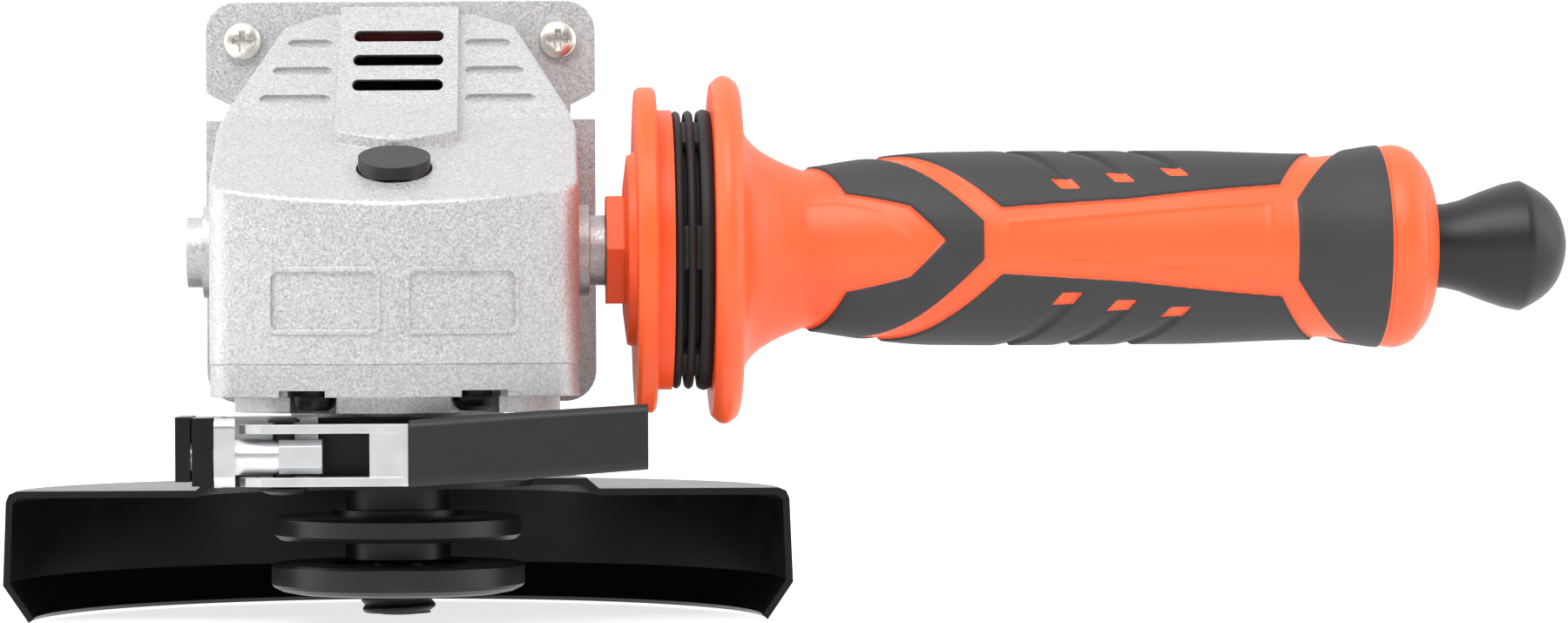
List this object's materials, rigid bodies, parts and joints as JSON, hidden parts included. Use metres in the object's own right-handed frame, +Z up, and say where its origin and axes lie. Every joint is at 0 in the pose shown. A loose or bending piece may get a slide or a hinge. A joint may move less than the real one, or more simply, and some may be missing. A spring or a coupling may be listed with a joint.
{
  "type": "angle grinder",
  "caption": "Angle grinder without a wheel: cast gear head with lock button, swivelling wheel guard with clamp lever, flange and nut on the spindle, and a two-tone screw-in side handle.",
  "frame": {"origin": "on the spindle axis, in the middle of the free thread below the lock nut, 12 mm below the wheel seat", "axes": "+Z up along the spindle towards the gear head, +X along the side handle, +Y along the motor towards the cord end, nose towards -Y"},
  "size_m": [0.2942, 0.304, 0.1193],
  "materials": {
    "silver_cast": "fine textured silver paint on cast alloy",
    "cover_cast": "silver paint",
    "dark_screw": "blackened",
    "nickel_screw": "nickel plated",
    "steel": "ground",
    "black_steel": "blackened, turned",
    "guard_black": "gloss black enamel",
    "zinc": "zinc plated",
    "black_plastic": "fine matt",
    "orange_plastic": "satin",
    "black_rubber": "matt",
    "grey_plastic": "fine matt",
    "red_plastic": "matt",
    "copper": "enamelled copper",
    "bronze": "sintered bronze",
    "carbon": "matt carbon",
    "felt": "felt"
  },
  "bodies": {
    "housing": {"gear_housing": "silver_cast", "gear_cover": "cover_cast", "cover_screws": "dark_screw", "spring_washers": "dark_screw", "flange_screws": "nickel_screw", "spindle_bush": "bronze", "felt_seal": "felt", "spindle_bearing_outer": "steel", "spindle_bearing_balls": "steel", "lock_spring": "steel", "front_bearing_outer": "steel", "front_bearing_balls": "steel", "rear_bearing_outer": "steel", "rear_bearing_balls": "steel", "bearing_boot": "black_rubber", "air_baffle": "red_plastic", "stator_core": "steel", "field_coils": "copper", "motor_housing": "grey_plastic", "brush_holders": "bronze", "carbon_brushes": "carbon", "brush_springs": "steel", "brush_caps": "black_plastic", "grip_shell_left": "grey_plastic", "grip_shell_right": "grey_plastic", "grip_screws": "dark_screw", "switch_body": "black_plastic", "cord_gland": "black_rubber", "handle_stud": "steel", "handle_flange": "orange_plastic", "handle_damper": "black_rubber", "handle_core": "orange_plastic", "handle_overmould": "black_rubber"},
    "spindle_group": {"spindle": "black_steel", "gear_ring": "steel", "spacer_ring": "steel", "spindle_bearing_inner": "steel", "inner_flange": "black_steel", "lock_nut": "black_steel", "bevel_gear": "steel"},
    "armature": {"bevel_pinion": "steel", "armature_shaft": "steel", "armature_core": "steel", "armature_winding": "copper", "commutator": "copper", "fan": "black_plastic", "front_bearing_inner": "steel", "rear_bearing_inner": "steel"},
    "lock": {"lock_button": "black_plastic", "lock_pin": "steel"},
    "guard_group": {"guard": "guard_black", "guard_collar": "guard_black", "clamp_plate": "zinc", "tension_bolt": "zinc", "pivot_pin": "dark_screw"},
    "clamp_handle": {"clamp_lever": "zinc", "lever_sleeve": "black_plastic"},
    "switch_slider": {"slide_button": "black_plastic", "slide_link": "black_plastic"},
    "key": {"handle_key": "black_plastic"}
  },
  "joints": [
    {"name": "spindle_spin", "type": "hinge", "parent": "housing", "child": "spindle_group", "pos_m": [0, 0, 0.012], "axis": [0, 0, 1], "continuous": true},
    {"name": "armature_spin", "type": "hinge", "parent": "housing", "child": "armature", "pos_m": [0, 0, 0.0765], "axis": [0, 1, 0], "continuous": true},
    {"name": "lock_press", "type": "slide", "parent": "housing", "child": "lock", "axis": [0, 0, -1], "range_m": [0, 0.0035], "stiffness_N_per_m": 900, "springref_m": -0.003, "deforming": ["lock_spring"]},
    {"name": "guard_turn", "type": "hinge", "parent": "housing", "child": "guard_group", "pos_m": [0, 0, 0.029], "axis": [0, 0, 1], "range_deg": [-60, 15]},
    {"name": "clamp_swing", "type": "hinge", "parent": "guard_group", "child": "clamp_handle", "pos_m": [-0.0198, -0.0345, 0.0284], "axis": [0, 0, -1], "range_deg": [0, 105]},
    {"name": "switch_slide", "type": "slide", "parent": "housing", "child": "switch_slider", "axis": [0, -1, 0], "range_m": [0, 0.007]},
    {"name": "key_pull", "type": "slide", "parent": "housing", "child": "key", "axis": [1, 0, 0], "range_m": [0, 0.065]}
  ],
  "couplings": [
    {"joint": "armature_spin", "follows": "spindle_spin", "ratio": 3.3636}
  ]
}
